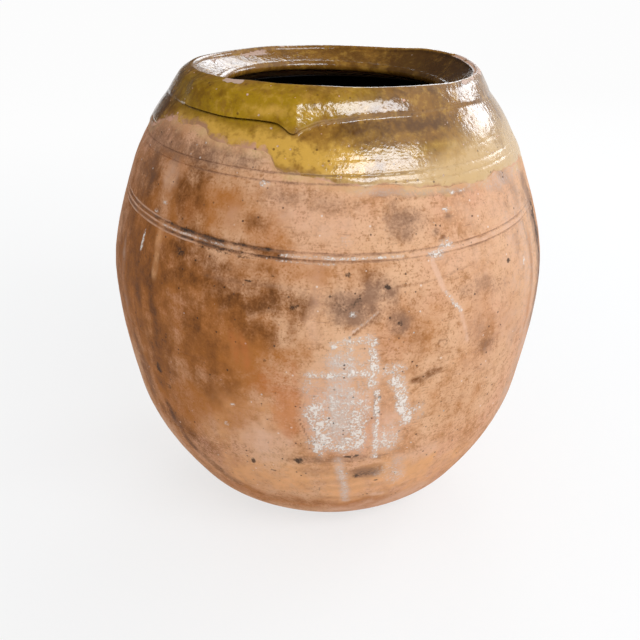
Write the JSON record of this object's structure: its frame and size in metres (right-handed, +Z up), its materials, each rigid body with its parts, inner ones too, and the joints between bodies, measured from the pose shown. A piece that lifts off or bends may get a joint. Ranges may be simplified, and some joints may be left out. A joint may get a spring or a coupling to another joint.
{
  "type": "olive jar",
  "caption": "Round-bellied terracotta storage jar built in courses, with incised lines, a strip of clay folded round the mouth and a dip of amber glaze.",
  "frame": {"origin": "middle of the foot, on the surface that the jar stands on", "axes": "+Z up along the jar's axis, -Y towards the front as pictured, +X to the viewer's right"},
  "size_m": [0.4316, 0.4316, 0.4537],
  "materials": {
    "terracotta_body": "matte, weathered",
    "terracotta_foot": "matte, worn",
    "amber_glaze": "gloss",
    "inner_glaze": "gloss"
  },
  "bodies": {
    "root": {"base_slab": "terracotta_foot", "lower_wall": "terracotta_body", "belly_wall": "terracotta_body", "upper_wall": "terracotta_body", "shoulder": "terracotta_body", "rim_collar": "terracotta_body", "mouth_glaze": "amber_glaze", "inner_glaze": "inner_glaze"}
  },
  "joints": []
}
